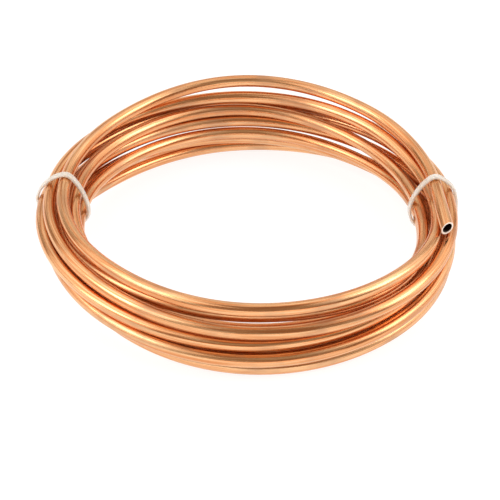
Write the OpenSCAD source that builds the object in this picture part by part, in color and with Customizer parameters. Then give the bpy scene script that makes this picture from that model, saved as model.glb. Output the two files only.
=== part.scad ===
// Loose coil of soft copper tube, held by two nylon ties.
// The coil lies on z = 0 and its eye is centred on the Z axis.
// The open end that shows is on the +X side and points along -Y.

/* [Tube] */
// Outside diameter of the tube
tube_od = 6.35; // [5:0.05:8]
// Thickness of the tube's wall
tube_wall = 0.76; // [0.5:0.02:1.2]
// Straight length at the end that shows
open_end_l = 35; // [15:1:45]
// Slant of the cut at the end that shows, in degrees from square
cut_slant = 33; // [0:1:35]
// Straight length at the end under the bundle
hidden_end_l = 12; // [6:1:20]

/* [Coil] */
// Middle radius of the coil, to the middle of the bundle of turns
coil_r = 93.4; // [85:0.1:120]
// Least room left between neighbouring turns
turn_gap = 0.1; // [0.05:0.05:0.6]

/* [Ties] */
// Width of a tie's band
tie_w = 2.6; // [2:0.1:3.6]
// Thickness of a tie's band
tie_t = 1.1; // [0.8:0.1:1.4]
// Room between a tie's band and the turns it holds
tie_gap = 0.45; // [0.4:0.05:0.6]
// Length of a tie's head, along its band
head_l = 4.6; // [4:0.1:6]
// Width of a tie's head, across its band
head_w = 4.4; // [4:0.1:6]
// Height of a tie's head, under its band
head_h = 3; // [2:0.1:3.4]
// Length of the trimmed tail that sticks out of the head
tail_l = 3; // [1:0.5:5]
// Where the tie near the open end sits, in degrees round the coil
tie_right_angle = 2.5; // [1:0.5:6]
// Where the other tie sits, in degrees round the coil
tie_left_angle = 171; // [168:0.5:174]

/* [Hidden] */

tube_r = tube_od / 2;
bore_r = tube_r - tube_wall;
pitch = tube_od + turn_gap;

// How the turns lie. Each row is one turn from the open end on, and holds where the tube passes
// eight angles round the coil, from its right side by the back, the left and the front. A place is
// the lane out from the coil's middle radius and the level above the floor, both counted in pitches.
LAY = [
    [[-0.25, 5.40], [-0.05, 6.35], [0.55, 6.80], [-0.05, 6.10],
     [-0.45, 5.45], [-0.80, 5.30], [0.00, 5.30], [0.20, 5.15]],
    [[-0.40, 4.35], [-0.65, 5.45], [0.10, 5.55], [0.90, 5.00],
     [0.60, 4.80], [0.00, 4.05], [0.35, 3.60], [1.00, 3.95]],
    [[0.70, 4.50], [0.35, 4.70], [1.20, 4.50], [1.10, 3.90],
     [1.20, 3.85], [0.40, 3.00], [0.15, 2.40], [0.25, 2.75]],
    [[0.10, 3.40], [0.95, 3.70], [1.20, 3.45], [0.95, 2.75],
     [0.60, 2.65], [0.45, 1.95], [0.70, 1.45], [0.90, 1.90]],
    [[0.70, 2.40], [0.40, 2.70], [0.00, 3.35], [0.00, 3.35],
     [-0.10, 3.60], [-1.10, 4.05], [-1.05, 4.05], [-0.40, 3.90]],
    [[-1.40, 3.50], [-1.05, 3.85], [0.00, 4.40], [-0.45, 4.35],
     [-1.20, 4.10], [-1.75, 2.85], [-1.00, 2.80], [-0.85, 2.70]],
    [[-1.25, 2.45], [-0.90, 2.15], [-0.20, 2.30], [-0.85, 2.55],
     [-1.45, 2.80], [-1.05, 1.95], [-0.40, 1.40], [-0.25, 1.65]],
    [[-0.30, 2.05], [-0.15, 1.40], [0.40, 1.45], [0.05, 1.95],
     [-0.45, 2.45], [-0.30, 1.05], [0.30, 0.50], [0.65, 0.85]],
    [[0.60, 1.30], [0.90, 0.85], [0.80, 0.50], [-0.10, 0.80],
     [0.20, 1.65]]
];
STATIONS = 8;
PLACES = [for (turn = LAY) for (place = turn) place];
LAST = len(PLACES) - 1;

RINGS_PER_STATION = 5;
RINGS = LAST * RINGS_PER_STATION;
BORE_SIDES = 6;
TUBE_SIDES = 2 * BORE_SIDES;

// Radius at which a polygon's corners give it the same area as a circle
function corner_r(r, sides) = r * sqrt(2 * PI / (sides * sin(360 / sides)));

// A place of the lay, mirrored past each end so that the tube leaves its straight ends smoothly
function place(i) = PLACES[i < 0 ? -i : i > LAST ? 2 * LAST - i : i];

// Cubic curve through the places, where s counts places from the open end
function smooth(p0, p1, p2, p3, t) =
    p1 + 0.5 * t * (p2 - p0 + t * (2 * p0 - 5 * p1 + 4 * p2 - p3 + t * (3 * (p1 - p2) + p3 - p0)));

function lane_level(s) =
    let (i = min(floor(s), LAST - 1))
    smooth(place(i - 1), place(i), place(i + 1), place(i + 2), s - i);

// Level of the lowest ring, which sets how far the coil is lifted to lie on the floor
lowest_level = min([for (k = [0 : RINGS]) lane_level(k / RINGS_PER_STATION)[1]]);
floor_lift = tube_r - lowest_level * pitch;

// Radius and height of the tube's middle line, in millimetres
function radius_height(s) =
    let (p = lane_level(s))
    [coil_r + p[0] * pitch, p[1] * pitch + floor_lift];

// Ring of points round the tube's middle line, at step k along the coil
function coil_ring(k, r, sides) =
    let (
        s = k / RINGS_PER_STATION,
        turn = s * 360 / STATIONS,
        at = radius_height(s),
        out = corner_r(r, sides)
    )
    [for (i = [0 : sides - 1])
        let (a = (i + 0.5) * 360 / sides, reach = at[0] + out * cos(a))
        [reach * cos(turn), reach * sin(turn), at[1] + out * sin(a)]];

// A point of the first ring, moved out to the slanted cut
function at_open_cut(p) =
    p - [0, open_end_l - (p[0] - radius_height(0)[0]) * tan(cut_slant), 0];

// All rings of the tube's outside or bore, with its straight ends, which run along -Y
function rings(r, sides) = concat(
    [for (p = coil_ring(0, r, sides)) at_open_cut(p)],
    [for (k = [0 : RINGS]) each coil_ring(k, r, sides)],
    [for (p = coil_ring(RINGS, r, sides)) p - [0, hidden_end_l, 0]]
);

// Triangles of the strip between two rings that follow each other
function strip(first, sides, k, flip) =
    [for (i = [0 : sides - 1])
        let (
            a = first + k * sides + i,
            b = first + k * sides + (i + 1) % sides,
            c = a + sides,
            d = b + sides
        )
        each flip ? [[a, b, d], [a, d, c]] : [[a, d, b], [a, c, d]]];

// Triangles of the cut face between the tube's outside and its bore
function cut_face(outside, bore, flip) =
    [for (i = [0 : BORE_SIDES - 1])
        let (
            a = outside + 2 * i,
            b = a + 1,
            c = outside + (2 * i + 2) % TUBE_SIDES,
            p = bore + i,
            q = bore + (i + 1) % BORE_SIDES
        )
        for (f = [[a, b, p], [b, q, p], [b, c, q]])
            flip ? [f[2], f[1], f[0]] : f];

module tube() {
    outside = rings(tube_r, TUBE_SIDES);
    bore = rings(bore_r, BORE_SIDES);
    bore_first = len(outside);
    strips = RINGS + 2;
    walls = [for (k = [0 : strips - 1])
        each concat(strip(0, TUBE_SIDES, k, false), strip(bore_first, BORE_SIDES, k, true))];
    open_cut = cut_face(0, bore_first, false);
    hidden_cut = cut_face(strips * TUBE_SIDES, bore_first + strips * BORE_SIDES, true);
    color("#c8763f")
        polyhedron(concat(outside, bore), concat(walls, open_cut, hidden_cut));
}

// Where the turns cross the upright plane at an angle round the coil
function crossing(angle) =
    [for (s = [angle * STATIONS / 360 : STATIONS : LAST]) radius_height(s)];

function lowest(points) =
    let (level = min([for (p = points) p[1]]))
    [for (p = points) if (p[1] == level) p][0];

// Outline that a band takes when it is drawn round the turns, with some room
module drawn_round(points, room) {
    hull()
        for (p = points)
            translate(p)
                circle(r = tube_r + room, $fn = 32);
}

// One-piece nylon tie, with its head and trimmed tail under the bundle
module tie(angle) {
    turns = crossing(angle);
    seat = lowest(turns);
    band_bottom = seat[1] - tube_r - tie_gap - tie_t;
    rotate([0, 0, angle])
        rotate([90, 0, 0]) {
            linear_extrude(tie_w, center = true)
                difference() {
                    drawn_round(turns, tie_gap + tie_t);
                    drawn_round(turns, tie_gap);
                }
            translate([seat[0] - head_l / 2, band_bottom - head_h + tie_t / 2, -head_w / 2])
                cube([head_l, head_h, head_w]);
            translate([seat[0] - head_l / 2 - tail_l, band_bottom - head_h / 2, -tie_w / 2])
                cube([head_l / 2 + tail_l, tie_t, tie_w]);
        }
}

module tie_right() {
    color("#ece3dc")
        tie(tie_right_angle);
}

module tie_left() {
    color("#ece3dc")
        tie(tie_left_angle);
}

tube();
tie_right();
tie_left();
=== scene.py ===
"""Looks of a loose coil of soft copper tube that two nylon ties hold together."""

import logging
import math
from collections.abc import Callable, Iterable, Sequence
from dataclasses import dataclass, field
from enum import Enum

import bmesh
import bpy
from bmesh.types import BMEdge, BMesh, BMVert
from mathutils import Matrix, Vector

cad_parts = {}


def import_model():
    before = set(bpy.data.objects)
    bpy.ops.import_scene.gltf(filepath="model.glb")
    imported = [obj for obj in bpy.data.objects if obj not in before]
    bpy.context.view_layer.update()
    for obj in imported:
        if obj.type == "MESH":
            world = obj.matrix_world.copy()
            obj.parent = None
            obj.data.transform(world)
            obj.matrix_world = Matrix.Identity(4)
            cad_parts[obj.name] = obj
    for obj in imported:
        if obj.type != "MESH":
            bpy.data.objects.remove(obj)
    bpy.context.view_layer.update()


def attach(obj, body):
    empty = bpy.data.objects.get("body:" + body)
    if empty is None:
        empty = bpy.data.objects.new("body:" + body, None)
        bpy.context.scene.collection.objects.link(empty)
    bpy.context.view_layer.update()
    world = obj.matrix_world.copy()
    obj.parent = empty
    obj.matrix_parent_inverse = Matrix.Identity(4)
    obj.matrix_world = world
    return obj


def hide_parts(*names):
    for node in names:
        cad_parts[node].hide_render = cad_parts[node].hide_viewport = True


LOG = logging.getLogger("copper_coil")
MM = 0.001
Number = float | int
Colour = tuple[float, float, float, float]
Limits = tuple[float, float]


class Socket:
    """A shader socket whose operators add Math nodes."""

    def __init__(self, tree: "ShaderTree", socket: bpy.types.NodeSocket) -> None:
        """Wraps an output socket of a node in the tree."""
        self.tree = tree
        self.socket = socket

    def math(self, operation: str, first: "Socket | Number", second: "Socket | Number") -> "Socket":
        """Adds a Math node and returns the socket of its result."""
        return self.tree.node("ShaderNodeMath", {"operation": operation}, {0: first, 1: second})

    def __add__(self, other: "Socket | Number") -> "Socket":
        """Returns self + other."""
        return self.math("ADD", self, other)

    def __radd__(self, other: Number) -> "Socket":
        """Returns other + self."""
        return self.math("ADD", other, self)

    def __rsub__(self, other: Number) -> "Socket":
        """Returns other - self."""
        return self.math("SUBTRACT", other, self)

    def __mul__(self, other: "Socket | Number") -> "Socket":
        """Returns self * other."""
        return self.math("MULTIPLY", self, other)

    def __rmul__(self, other: Number) -> "Socket":
        """Returns other * self."""
        return self.math("MULTIPLY", other, self)


class ShaderTree:
    """A material's node tree, filled through one method.

    The numbers are those of a Mix node's sockets for colours, whose names it uses more than once.
    """

    MIX_FIRST = 6
    MIX_SECOND = 7
    MIX_RESULT = 2

    def __init__(self, name: str) -> None:
        """Starts a material with an empty tree.

        Args:
            name: The material's name.
        """
        self.material = bpy.data.materials.new(name)
        self.material.use_nodes = True
        self.tree = self.material.node_tree
        self.tree.nodes.clear()

    def node(
        self,
        kind: str,
        settings: dict[str, object],
        inputs: dict[str | int, object],
        output: str | int = 0,
    ) -> Socket:
        """Adds a node.

        Args:
            kind: The node's type.
            settings: Properties of the node, set before its sockets.
            inputs: A value or a Socket for each named or numbered input.
            output: The output that is wanted.

        Returns:
            The wanted output's socket.
        """
        made = self.tree.nodes.new(kind)
        for name, setting in settings.items():
            setattr(made, name, setting)
        for name, given in inputs.items():
            if isinstance(given, Socket):
                self.tree.links.new(given.socket, made.inputs[name])
            else:
                made.inputs[name].default_value = given
        return Socket(self, made.outputs[output])

    def noise(self, vector: Socket, scale: float = 1.0, detail: float = 2.0) -> Socket:
        """Returns a noise from 0 to 1, read at the vector."""
        return self.node("ShaderNodeTexNoise", {}, {"Vector": vector, "Scale": scale, "Detail": detail})

    def stretched(self, vector: Socket, scale: Sequence[float]) -> Socket:
        """Returns the vector with each axis scaled by its own factor."""
        return self.node("ShaderNodeVectorMath", {"operation": "MULTIPLY"}, {0: vector, 1: tuple(scale)})

    def spread(self, given: Socket, start: float, full: float) -> Socket:
        """Returns a mask that starts at one limit and is full at the other, smooth at both."""
        limits = {"Value": given, "From Min": start, "From Max": full}
        return self.node("ShaderNodeMapRange", {"interpolation_type": "SMOOTHSTEP"}, limits)

    def blend(self, factor: Socket, first: object, second: object) -> Socket:
        """Returns a mix of two colours, where the factor is the second one's share."""
        inputs = {0: factor, self.MIX_FIRST: first, self.MIX_SECOND: second}
        return self.node("ShaderNodeMix", {"data_type": "RGBA"}, inputs, self.MIX_RESULT)

    def finish(self, surface: Socket) -> bpy.types.Material:
        """Sends a shader to the output.

        Args:
            surface: The shader.

        Returns:
            The finished material.
        """
        made = self.tree.nodes.new("ShaderNodeOutputMaterial")
        self.tree.links.new(surface.socket, made.inputs["Surface"])
        return self.material


class Slot(Enum):
    """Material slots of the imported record."""

    COPPER = "copper"
    NYLON = "nylon"


class TieSide(Enum):
    """The two ties: the node that each stands for, and where it sits round the coil."""

    RIGHT = ("tie_right", 2.5)
    LEFT = ("tie_left", 171.0)

    @property
    def node(self) -> str:
        """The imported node's name."""
        return self.value[0]

    @property
    def angle(self) -> float:
        """Degrees round the coil."""
        return self.value[1]


@dataclass(frozen=True)
class Pattern:
    """A noise that follows the tube: how fine it is across and along, per millimetre, and its detail."""

    scale: tuple[float, float, float]
    detail: float


@dataclass(frozen=True)
class CopperFinish:
    """Bright drawn copper with lengthwise streaks, a little handling wear and painted shade deep in the bore.

    Limits say where a mask starts and where it is full. Radii and depths are in millimetres from the tube's
    middle line and from its open end.
    """

    bright: Colour = (0.94, 0.56, 0.295, 1.0)
    deep: Colour = (0.74, 0.295, 0.115, 1.0)
    tarnish: Colour = (0.43, 0.24, 0.15, 1.0)
    fresh: Colour = (1.0, 0.88, 0.78, 1.0)
    # Near-black painted shade for the bore beyond its mouth.
    painted_bore_shade: Colour = (0.03, 0.012, 0.006, 1.0)
    roughness: float = 0.20
    drawn_rough: float = 0.08
    dull_rough: float = 0.12
    cut_rough: float = 0.15
    bore_rough: float = 0.30
    streaks: Pattern = Pattern((1.1, 1.1, 0.018), 3.0)
    hairs: Pattern = Pattern((4.5, 4.5, 0.05), 2.0)
    clouds: Pattern = Pattern((0.10, 0.10, 0.05), 3.0)
    dents: Pattern = Pattern((0.15, 0.15, 0.04), 1.0)
    streak_share: float = 0.6
    cloud_share: float = 0.7
    drawn_limits: Limits = (0.40, 0.60)
    dull_limits: Limits = (0.48, 0.68)
    tarnish_share: float = 0.5
    cut_radii: Limits = (3.14, 3.10)
    cut_matt: float = 0.8
    bore_radii: Limits = (2.47, 2.43)
    mouth_depths: Limits = (0.3, 0.9)
    dent_height: float = 0.25 * MM
    hair_height: float = 0.05 * MM
    hair_strength: float = 0.25

    def material(self) -> bpy.types.Material:
        """Builds the copper.

        Returns:
            The material.
        """
        tree = ShaderTree("drawn_copper")
        grain = tree.node("ShaderNodeAttribute", {"attribute_name": CopperTube.GRAIN}, {}, "Vector")
        streak, hair, cloud, dent = (
            tree.noise(tree.stretched(grain, pattern.scale), detail=pattern.detail)
            for pattern in (self.streaks, self.hairs, self.clouds, self.dents)
        )
        drawn = tree.spread(self.streak_share * streak + (1 - self.streak_share) * hair, *self.drawn_limits)
        dull = tree.spread(self.cloud_share * cloud + (1 - self.cloud_share) * streak, *self.dull_limits)
        flat = tree.stretched(grain, (1.0, 1.0, 0.0))
        radius = tree.node("ShaderNodeVectorMath", {"operation": "LENGTH"}, {0: flat}, "Value")
        within = tree.spread(radius, *self.cut_radii)
        along = tree.node("ShaderNodeSeparateXYZ", {}, {0: grain}, "Z")
        # Mask of the bore's painted shade, full on the bore wall from just inside the mouth on.
        inside = tree.spread(radius, *self.bore_radii) * tree.spread(along, *self.mouth_depths)
        colour = tree.blend(drawn, self.deep, self.bright)
        colour = tree.blend(self.tarnish_share * dull, colour, self.tarnish)
        colour = tree.blend(within, colour, self.fresh)
        # Paints the bore near black as shade.
        colour = tree.blend(inside, colour, self.painted_bore_shade)
        rough = self.roughness + self.drawn_rough * drawn + self.dull_rough * dull
        rough = rough + self.cut_rough * within + self.bore_rough * inside
        dented = {"Strength": 1.0, "Distance": self.dent_height, "Height": dent}
        waved = tree.node("ShaderNodeBump", {}, dented)
        scored = {
            "Strength": self.hair_strength,
            "Distance": self.hair_height,
            "Height": hair,
            "Normal": waved,
        }
        inputs = {
            "Base Color": colour,
            "Roughness": rough,
            "Metallic": 1.0 - self.cut_matt * within,
            "Normal": tree.node("ShaderNodeBump", {}, scored),
        }
        return tree.finish(tree.node("ShaderNodeBsdfPrincipled", {}, inputs))


@dataclass(frozen=True)
class NylonFinish:
    """Natural milky nylon that lets some light through."""

    milk: Colour = (0.98, 0.86, 0.79, 1.0)
    clear: Colour = (0.96, 0.80, 0.70, 1.0)
    cloud_scale: float = 420.0
    cloud_limits: Limits = (0.35, 0.65)
    cloud_rough: float = 0.12
    cloud_height: float = 0.05 * MM
    cloud_strength: float = 0.15
    roughness: float = 0.38
    soft_depth: float = 2.5 * MM
    soft_tint: tuple[float, float, float] = (1.0, 0.9, 0.8)
    see_through: float = 0.1
    ior: float = 1.53

    def material(self) -> bpy.types.Material:
        """Builds the nylon.

        Returns:
            The material.
        """
        tree = ShaderTree("natural_nylon")
        place = tree.node("ShaderNodeTexCoord", {}, {}, "Object")
        cloud = tree.noise(place, self.cloud_scale)
        mask = tree.spread(cloud, *self.cloud_limits)
        clouded = {"Strength": self.cloud_strength, "Distance": self.cloud_height, "Height": cloud}
        inputs = {
            "Base Color": tree.blend(mask, self.clear, self.milk),
            "Roughness": self.roughness + self.cloud_rough * mask,
            "Normal": tree.node("ShaderNodeBump", {}, clouded),
            "Subsurface Weight": 1.0,
            "Subsurface Radius": self.soft_tint,
            "Subsurface Scale": self.soft_depth,
            "Transmission Weight": self.see_through,
            "IOR": self.ior,
        }
        return tree.finish(tree.node("ShaderNodeBsdfPrincipled", {}, inputs))


@dataclass(frozen=True)
class FloorFinish:
    """Matt white paper, lit from below as on a light table."""

    white: Colour = (0.28, 0.28, 0.28, 1.0)
    shade: Colour = (0.26, 0.26, 0.265, 1.0)
    light: Colour = (1.0, 1.0, 1.0, 1.0)
    glow: float = 0.84
    cloud_scale: float = 2.0
    roughness: float = 0.9

    def material(self) -> bpy.types.Material:
        """Builds the paper.

        Returns:
            The material.
        """
        tree = ShaderTree("white_paper")
        place = tree.node("ShaderNodeTexCoord", {}, {}, "Object")
        mask = tree.noise(place, self.cloud_scale)
        inputs = {
            "Base Color": tree.blend(mask, self.white, self.shade),
            "Roughness": self.roughness,
            "Emission Color": self.light,
            "Emission Strength": self.glow,
        }
        return tree.finish(tree.node("ShaderNodeBsdfPrincipled", {}, inputs))


@dataclass(frozen=True)
class Lay:
    """How the turns lie, as lanes and levels counted in pitches.

    Each row of turns goes on from the open end, and gives where the tube passes eight angles round the coil,
    from its right side by the back, the left and the front. The floor steps between two of these stations are
    the solid's own, so that both lie at one height.
    """

    tube_r: float = 3.175 * MM
    coil_r: float = 93.4 * MM
    pitch: float = 6.45 * MM
    stations: int = 8
    floor_steps: int = 5
    turns: tuple[tuple[tuple[float, float], ...], ...] = (
        ((-0.25, 5.40), (-0.05, 6.35), (0.55, 6.80), (-0.05, 6.10),
         (-0.45, 5.45), (-0.80, 5.30), (0.00, 5.30), (0.20, 5.15)),
        ((-0.40, 4.35), (-0.65, 5.45), (0.10, 5.55), (0.90, 5.00),
         (0.60, 4.80), (0.00, 4.05), (0.35, 3.60), (1.00, 3.95)),
        ((0.70, 4.50), (0.35, 4.70), (1.20, 4.50), (1.10, 3.90),
         (1.20, 3.85), (0.40, 3.00), (0.15, 2.40), (0.25, 2.75)),
        ((0.10, 3.40), (0.95, 3.70), (1.20, 3.45), (0.95, 2.75),
         (0.60, 2.65), (0.45, 1.95), (0.70, 1.45), (0.90, 1.90)),
        ((0.70, 2.40), (0.40, 2.70), (0.00, 3.35), (0.00, 3.35),
         (-0.10, 3.60), (-1.10, 4.05), (-1.05, 4.05), (-0.40, 3.90)),
        ((-1.40, 3.50), (-1.05, 3.85), (0.00, 4.40), (-0.45, 4.35),
         (-1.20, 4.10), (-1.75, 2.85), (-1.00, 2.80), (-0.85, 2.70)),
        ((-1.25, 2.45), (-0.90, 2.15), (-0.20, 2.30), (-0.85, 2.55),
         (-1.45, 2.80), (-1.05, 1.95), (-0.40, 1.40), (-0.25, 1.65)),
        ((-0.30, 2.05), (-0.15, 1.40), (0.40, 1.45), (0.05, 1.95),
         (-0.45, 2.45), (-0.30, 1.05), (0.30, 0.50), (0.65, 0.85)),
        ((0.60, 1.30), (0.90, 0.85), (0.80, 0.50), (-0.10, 0.80),
         (0.20, 1.65)),
    )

    @property
    def places(self) -> list[tuple[float, float]]:
        """All places of the lay in a row."""
        return [place for turn in self.turns for place in turn]

    @property
    def last(self) -> int:
        """Number of the last place."""
        return len(self.places) - 1

    def place(self, i: int) -> Vector:
        """Returns the lane and level of a place, mirrored past each end."""
        inside = -i if i < 0 else 2 * self.last - i if i > self.last else i
        return Vector(self.places[inside])

    def lane_level(self, s: float) -> Vector:
        """Follows the smooth curve through the places.

        Args:
            s: How far along, counted in places from the open end.

        Returns:
            The lane and level there.
        """
        i = min(math.floor(s), self.last - 1)
        t = s - i
        p0, p1, p2, p3 = (self.place(i + k) for k in (-1, 0, 1, 2))
        cubic = 3 * (p1 - p2) + p3 - p0
        square = 2 * p0 - 5 * p1 + 4 * p2 - p3
        return p1 + 0.5 * t * (p2 - p0 + t * (square + t * cubic))

    def floor_lift(self) -> float:
        """Works out how far the coil is lifted to lie on the floor.

        Returns:
            The lift in metres.
        """
        count = self.last * self.floor_steps
        lowest = min(self.lane_level(k / self.floor_steps).y for k in range(count + 1))
        return self.tube_r - lowest * self.pitch

    def radius_height(self, s: float, lift: float) -> Vector:
        """Returns the radius and height of the tube's middle line in metres, s places along."""
        at = self.lane_level(s)
        return Vector((self.coil_r + at.x * self.pitch, at.y * self.pitch + lift))

    def middle(self, s: float, lift: float) -> Vector:
        """Finds a point of the tube's middle line.

        Args:
            s: How far along, counted in places.
            lift: How far the coil is lifted.

        Returns:
            The point, in metres.
        """
        at = self.radius_height(s, lift)
        turn = s * math.tau / self.stations
        return Vector((at.x * math.cos(turn), at.x * math.sin(turn), at.y))

    def crossing(self, angle: float, lift: float) -> list[Vector]:
        """Finds where the turns cross an upright plane through the coil's axis.

        Args:
            angle: The plane's angle round the coil, in degrees.
            lift: How far the coil is lifted.

        Returns:
            The radius and height of each crossing.
        """
        s = angle * self.stations / 360
        found = []
        while s <= self.last:
            found.append(self.radius_height(s, lift))
            s += self.stations
        return found


def only(kind: type, geometry: Iterable[object]) -> list:
    """Picks the mesh elements of one kind."""
    return [element for element in geometry if isinstance(element, kind)]


def corners(edges: Iterable[BMEdge]) -> list[BMVert]:
    """Lists the vertices of some edges, each once."""
    return list({vert: None for edge in edges for vert in edge.verts})


def carry(
    bm: BMesh,
    ring: list[BMEdge],
    frames: Sequence[Matrix],
    visit: Callable[[int, list[BMVert]], None] | None = None,
) -> list[BMEdge]:
    """Carries a ring of edges along a row of frames, one extrusion for each step.

    Args:
        bm: The mesh.
        ring: The ring, which stands at the first frame.
        frames: The frames.
        visit: Called with each step's number and its vertices.

    Returns:
        The ring at the last frame.
    """
    if visit:
        visit(0, corners(ring))
    for step, (here, there) in enumerate(zip(frames, frames[1:]), start=1):
        grown = bmesh.ops.extrude_edge_only(bm, edges=ring)["geom"]
        ring = only(BMEdge, grown)
        verts = only(BMVert, grown)
        bmesh.ops.transform(bm, matrix=there @ here.inverted(), verts=verts)
        if visit:
            visit(step, verts)
    return ring


def append(bm: BMesh, added: BMesh) -> None:
    """Adds one mesh to another.

    Args:
        bm: The mesh that grows.
        added: The mesh that is added, which is freed.
    """
    mesh = bpy.data.meshes.new("added")
    added.to_mesh(mesh)
    added.free()
    bm.from_mesh(mesh)
    bpy.data.meshes.remove(mesh)


def standing(at: Vector, side: Vector, up: Vector, ahead: Vector) -> Matrix:
    """Makes a frame.

    Args:
        at: Its origin.
        side: Its X axis.
        up: Its Y axis.
        ahead: Its Z axis.

    Returns:
        The frame's matrix.
    """
    matrix = Matrix((side, up, ahead)).transposed().to_4x4()
    matrix.translation = at
    return matrix


def as_object(bm: BMesh, name: str, material: bpy.types.Material) -> bpy.types.Object:
    """Makes a smooth-shaded object of a finished mesh.

    Args:
        bm: The mesh, which is freed.
        name: The object's name.
        material: Its material.

    Returns:
        The object.
    """
    mesh = bpy.data.meshes.new(name)
    for face in bm.faces:
        face.smooth = True
    bm.to_mesh(mesh)
    bm.free()
    mesh.materials.append(material)
    made = bpy.data.objects.new(name, mesh)
    bpy.context.collection.objects.link(made)
    LOG.info("%s: %d faces", name, len(mesh.polygons))
    return made


@dataclass
class CopperTube:
    """The one length of tube, swept along the lay with its bore and its two cut ends.

    The steps are those between two stations of the lay. An edge that bends by more than the rim angle, in
    radians, is the rim of a cut.
    """

    GRAIN = "grain"

    lay: Lay
    finish: CopperFinish = field(default_factory=CopperFinish)
    wall: float = 0.76 * MM
    open_end: float = 35 * MM
    hidden_end: float = 12 * MM
    open_slant: float = math.tan(math.radians(33))
    steps: int = 18
    sides: int = 24
    burr: float = 0.10 * MM
    burr_steps: int = 2
    rim_angle: float = 0.8
    seam: float = 0.001 * MM

    def frames(self) -> list[Matrix]:
        """Stands a frame at each step of the tube's middle line.

        Returns:
            The frames, from the open end to the hidden one.
        """
        lift = self.lay.floor_lift()
        count = self.lay.last * self.steps
        points = [self.lay.middle(k / self.steps, lift) for k in range(count + 1)]
        points.insert(0, points[0] - Vector((0, self.open_end, 0)))
        points.append(points[-1] - Vector((0, self.hidden_end, 0)))
        made = []
        for k, at in enumerate(points):
            ahead = (points[min(k + 1, count + 2)] - points[max(k - 1, 0)]).normalized()
            # The frames of a straight end look along it.
            if k <= 1:
                ahead = Vector((0, 1, 0))
            if k >= count + 1:
                ahead = Vector((0, -1, 0))
            side = ahead.cross(Vector((0, 0, 1))).normalized()
            made.append(standing(at, side, side.cross(ahead), ahead))
        slant = Matrix.Identity(4)
        slant[2][0] = self.open_slant
        made[0] = made[0] @ slant
        return made

    def wall_surface(self, bm: BMesh, radius: float, frames: Sequence[Matrix]) -> None:
        """Sweeps the outside or the bore, one short length after another.

        Args:
            bm: The mesh.
            radius: Radius of the surface.
            frames: Frames of the middle line.
        """
        along = 0.0
        for first in range(0, len(frames) - 1, self.steps):
            reach = frames[first : first + self.steps + 1]
            along = self.length(bm, radius, reach, along)

    def length(self, bm: BMesh, radius: float, frames: Sequence[Matrix], along: float) -> float:
        """Sweeps one short length and marks where each vertex is round and along the tube.

        Args:
            bm: The mesh that the length is added to.
            radius: Radius of the surface.
            frames: Frames of the length's middle line.
            along: How far along the tube the length starts.

        Returns:
            How far along the tube it ends.
        """
        swept = bmesh.new()
        grain = swept.verts.layers.float_vector.new(self.GRAIN)
        travelled = [along]
        for here, there in zip(frames, frames[1:]):
            travelled.append(travelled[-1] + (there.translation - here.translation).length)

        def mark(step: int, verts: list[BMVert]) -> None:
            """Notes where a ring's vertices are, in millimetres.

            Args:
                step: The ring's number.
                verts: Its vertices.
            """
            back = frames[step].inverted()
            for vert in verts:
                local = back @ vert.co
                vert[grain] = Vector((local.x, local.y, travelled[step])) / MM

        circle = bmesh.ops.create_circle(swept, segments=self.sides, radius=radius, matrix=frames[0])
        ring = list({edge: None for vert in circle["verts"] for edge in vert.link_edges})
        carry(swept, ring, frames, mark)
        append(bm, swept)
        return travelled[-1]

    def cut(self, bm: BMesh, frame: Matrix) -> None:
        """Makes the cut face at one end, from the bore's rim out.

        Args:
            bm: The mesh.
            frame: The frame at that end.
        """
        grain = bm.verts.layers.float_vector[self.GRAIN]
        near = self.lay.tube_r - 2 * self.burr
        rim = [
            edge
            for edge in bm.edges
            if edge.is_boundary and (edge.verts[0].co - frame.translation).length < near
        ]
        verts = only(BMVert, bmesh.ops.extrude_edge_only(bm, edges=rim)["geom"])
        grow = self.lay.tube_r / (self.lay.tube_r - self.wall)
        widen = Matrix.Diagonal((grow, grow, 1.0, 1.0))
        bmesh.ops.transform(bm, matrix=frame @ widen @ frame.inverted(), verts=verts)
        for vert in verts:
            vert[grain] = widen @ vert[grain]

    def build(self) -> bpy.types.Object:
        """Builds the tube.

        Returns:
            The tube's object.
        """
        bm = bmesh.new()
        bm.verts.layers.float_vector.new(self.GRAIN)
        frames = self.frames()
        self.wall_surface(bm, self.lay.tube_r, frames)
        self.wall_surface(bm, self.lay.tube_r - self.wall, frames)
        for frame in (frames[0], frames[-1]):
            self.cut(bm, frame)
        bmesh.ops.remove_doubles(bm, verts=bm.verts, dist=self.seam)
        bmesh.ops.recalc_face_normals(bm, faces=bm.faces)
        rims = [edge for edge in bm.edges if edge.calc_face_angle(0.0) > self.rim_angle]
        bmesh.ops.bevel(
            bm,
            geom=rims,
            offset=self.burr,
            affect="EDGES",
            segments=self.burr_steps,
            profile=0.5,
            material=-1,
        )
        tube = as_object(bm, "copper_tube", self.finish.material())
        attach(tube, "root")
        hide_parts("tube")
        return tube


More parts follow.
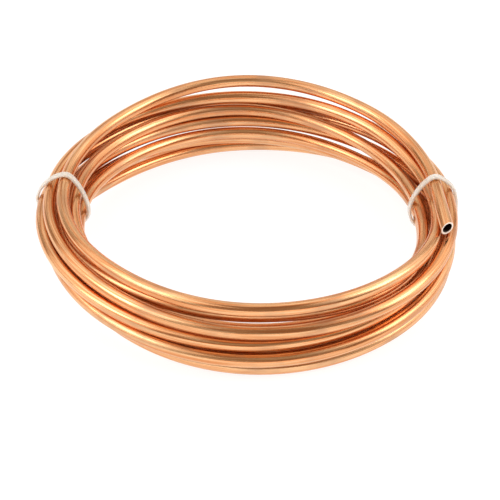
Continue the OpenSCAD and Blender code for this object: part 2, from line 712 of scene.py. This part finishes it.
@dataclass
class NylonTie:
    """A one-piece tie: a ribbed band round the bundle, its head and its trimmed tail.

    The bow says over how many degrees to each side the band's bends are eased. The rib depth is a share of
    the thickness.
    """

    lay: Lay
    side: TieSide
    finish: NylonFinish = field(default_factory=NylonFinish)
    width: float = 3.4 * MM
    thickness: float = 1.5 * MM
    room: float = 0.45 * MM
    bow: int = 15
    bow_step: int = 5
    directions: int = 360
    head_length: float = 4.6 * MM
    head_width: float = 4.4 * MM
    head_height: float = 3.0 * MM
    tail: float = 3.0 * MM
    rib: float = 1.0 * MM
    rib_depth: float = 0.22
    rib_steps: int = 4
    edge: float = 0.40 * MM
    edge_steps: int = 2
    head_edge: float = 0.45 * MM
    tail_edge: float = 0.2 * MM
    block_steps: int = 3

    def outline(self, turns: Sequence[Vector], reach: float) -> list[Vector]:
        """Draws a line round the turns, bowed a little as a stiff band bows.

        Args:
            turns: Where the turns cross the tie's plane.
            reach: How far the line keeps from their middles.

        Returns:
            Points of the closed line, evenly spaced, as radius and height.
        """
        middle = sum(turns, Vector((0.0, 0.0))) / len(turns)
        leans = [math.radians(lean) for lean in range(-self.bow, self.bow + 1, self.bow_step)]
        loop = []
        for k in range(self.directions):
            turn = math.tau * k / self.directions
            way = Vector((math.cos(turn), math.sin(turn)))
            far = Vector((0.0, 0.0))
            for lean in leans:
                swung = Matrix.Rotation(lean, 2)
                far += swung.transposed() @ (max(turns, key=(swung @ way).dot) - middle)
            loop.append(middle + far / len(leans) + reach * way)
        lengths = [(b - a).length for a, b in zip(loop, loop[1:] + loop[:1])]
        whole = sum(lengths)
        count = self.rib_steps * round(whole / self.rib)
        spaced = []
        passed = 0.0
        for a, b, length in zip(loop, loop[1:] + loop[:1], lengths):
            while len(spaced) < count and passed + length > len(spaced) * whole / count:
                spaced.append(a.lerp(b, (len(spaced) * whole / count - passed) / length))
            passed += length
        return spaced

    def frames(self, turns: Sequence[Vector]) -> list[Matrix]:
        """Stands frames along the band, a few for each rib.

        Args:
            turns: Where the turns cross the tie's plane.

        Returns:
            The frames, whose X axis is the band's width and whose Y axis is its thickness.
        """
        line = self.outline(turns, self.lay.tube_r + self.room + self.thickness / 2)
        across = Vector((0, 1, 0))
        made = []
        for k, at in enumerate(line):
            flat = line[(k + 1) % len(line)] - line[k - 1]
            ahead = Vector((flat.x, 0, flat.y)).normalized()
            thin = 1.0 if k % self.rib_steps < self.rib_steps / 2 else 1.0 - self.rib_depth
            frame = standing(Vector((at.x, 0, at.y)), across, ahead.cross(across), ahead)
            made.append(frame @ Matrix.Diagonal((1.0, thin, 1.0, 1.0)))
        return made

    def band(self, bm: BMesh, turns: Sequence[Vector]) -> None:
        """Sweeps the band and closes it.

        Args:
            bm: The mesh.
            turns: Where the turns cross the tie's plane.
        """
        frames = self.frames(turns)
        shape = Matrix.Diagonal((self.width, self.thickness, 1.0, 1.0))
        grid = bmesh.ops.create_grid(bm, x_segments=1, y_segments=1, size=0.5, matrix=frames[0] @ shape)
        bmesh.ops.bevel(
            bm,
            geom=grid["verts"],
            offset=self.edge,
            affect="VERTICES",
            segments=self.edge_steps,
            profile=0.5,
            material=-1,
        )
        face = next(iter(bm.faces))
        first = list(face.edges)
        bmesh.ops.delete(bm, geom=[face], context="FACES_ONLY")
        last = carry(bm, first, frames)
        bmesh.ops.bridge_loops(bm, edges=first + last)

    def block(self, bm: BMesh, low: Vector, high: Vector, edge: float) -> None:
        """Adds a block with rounded edges.

        Args:
            bm: The mesh.
            low: Its lowest corner.
            high: Its highest corner.
            edge: Radius of its edges.
        """
        place = Matrix.Translation((low + high) / 2) @ Matrix.Diagonal((*(high - low), 1.0))
        cube = bmesh.ops.create_cube(bm, size=1.0, matrix=place)
        edges = list({e: None for vert in cube["verts"] for e in vert.link_edges})
        bmesh.ops.bevel(
            bm,
            geom=edges,
            offset=edge,
            affect="EDGES",
            segments=self.block_steps,
            profile=0.5,
            material=-1,
        )

    def build(self) -> bpy.types.Object:
        """Builds the tie.

        Returns:
            The tie's object.
        """
        turns = self.lay.crossing(self.side.angle, self.lay.floor_lift())
        seat = min(turns, key=lambda at: at.y)
        bottom = seat.y - self.lay.tube_r - self.room - self.thickness
        bm = bmesh.new()
        self.band(bm, turns)
        half = self.head_length / 2
        head_top = bottom + self.thickness / 2
        self.block(
            bm,
            Vector((seat.x - half, -self.head_width / 2, head_top - self.head_height)),
            Vector((seat.x + half, self.head_width / 2, head_top)),
            self.head_edge,
        )
        tail_low = bottom - self.head_height / 2
        self.block(
            bm,
            Vector((seat.x - half - self.tail, -self.width / 2, tail_low)),
            Vector((seat.x, self.width / 2, tail_low + self.thickness)),
            self.tail_edge,
        )
        bmesh.ops.recalc_face_normals(bm, faces=bm.faces)
        turn = Matrix.Rotation(math.radians(self.side.angle), 4, "Z")
        bmesh.ops.transform(bm, matrix=turn, verts=bm.verts)
        tie = as_object(bm, f"{self.side.name.lower()}_tie", self.finish.material())
        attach(tie, "root")
        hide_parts(self.side.node)
        return tie


@dataclass(frozen=True)
class Softbox:
    """A soft light: its name, its place, its width and height in metres, and its power in watts."""

    name: str
    at: tuple[float, float, float]
    size: tuple[float, float]
    power: float

    def hang(self, aim: Vector) -> None:
        """Hangs the light.

        Args:
            aim: The point that it is turned to.
        """
        lamp = bpy.data.lights.new(self.name, "AREA")
        lamp.shape = "RECTANGLE"
        lamp.size, lamp.size_y = self.size
        lamp.energy = self.power
        made = bpy.data.objects.new(self.name, lamp)
        made.location = self.at
        made.rotation_euler = (aim - Vector(self.at)).to_track_quat("-Z", "Y").to_euler()
        made.visible_camera = False
        bpy.context.collection.objects.link(made)


@dataclass
class Studio:
    """White paper, soft lights all round and the camera.

    Lengths are in metres and angles in degrees, and the lens is in millimetres.
    """

    finish: FloorFinish = field(default_factory=FloorFinish)
    floor_size: float = 6.0
    middle: Vector = field(default_factory=lambda: Vector((0.0, 0.0, 0.033)))
    distance: float = 0.775
    elevation: float = 33.0
    azimuth: float = -93.0
    lens: float = 114.3
    aim_right: float = 0.0004
    aim_down: float = 0.0260
    nearest: float = 0.01
    room_colour: Colour = (1.0, 0.79, 0.58, 1.0)
    room_light: float = 0.33
    softboxes: tuple[Softbox, ...] = (
        Softbox("above", (0.0, 0.75, 1.5), (2.6, 1.7), 9.2),
        Softbox("behind", (0.0, 2.4, 0.6), (4.4, 1.2), 10.5),
        Softbox("left", (-1.3, -0.2, 1.0), (2.0, 2.2), 12.0),
        Softbox("right", (1.3, 0.1, 1.0), (2.0, 2.2), 12.0),
        Softbox("left_key", (-1.1, -0.3, 0.85), (0.6, 0.6), 3.8),
        Softbox("right_key", (1.1, -0.15, 0.85), (0.6, 0.6), 3.6),
        Softbox("front", (0.0, -2.6, 0.3), (4.0, 0.6), 9.0),
    )

    def floor(self) -> None:
        """Lays the paper."""
        bm = bmesh.new()
        bmesh.ops.create_grid(bm, x_segments=1, y_segments=1, size=self.floor_size / 2)
        as_object(bm, "paper", self.finish.material())

    def lights(self) -> None:
        """Hangs the lights and sets the room's own light."""
        for softbox in self.softboxes:
            softbox.hang(self.middle)
        world = bpy.data.worlds.new("room")
        world.use_nodes = True
        background = world.node_tree.nodes["Background"]
        background.inputs["Color"].default_value = self.room_colour
        background.inputs["Strength"].default_value = self.room_light
        bpy.context.scene.world = world
        bpy.context.scene.view_settings.view_transform = "Standard"

    def camera(self) -> None:
        """Sets the camera at the photograph's viewing angle."""
        lens = bpy.data.cameras.new("camera")
        lens.lens = self.lens
        lens.clip_start = self.nearest
        around = math.radians(self.azimuth)
        rise = math.radians(self.elevation)
        out = Vector((math.cos(around) * math.cos(rise), math.sin(around) * math.cos(rise), math.sin(rise)))
        right = Vector((-math.sin(around), math.cos(around), 0.0))
        up = out.cross(right)
        at = self.middle + self.distance * out
        aim = self.middle + self.aim_right * right - self.aim_down * up
        made = bpy.data.objects.new("camera", lens)
        made.location = at
        made.rotation_euler = (aim - at).to_track_quat("-Z", "Y").to_euler()
        bpy.context.collection.objects.link(made)
        bpy.context.scene.camera = made

    def build(self) -> None:
        """Builds the whole studio."""
        self.floor()
        self.lights()
        self.camera()


def main() -> None:
    """Builds the coil round its frame, and the studio."""
    logging.basicConfig(level=logging.INFO)
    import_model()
    lay = Lay()
    Studio().build()
    CopperTube(lay).build()
    for side in TieSide:
        NylonTie(lay, side).build()


if __name__ == "__main__":
    main()
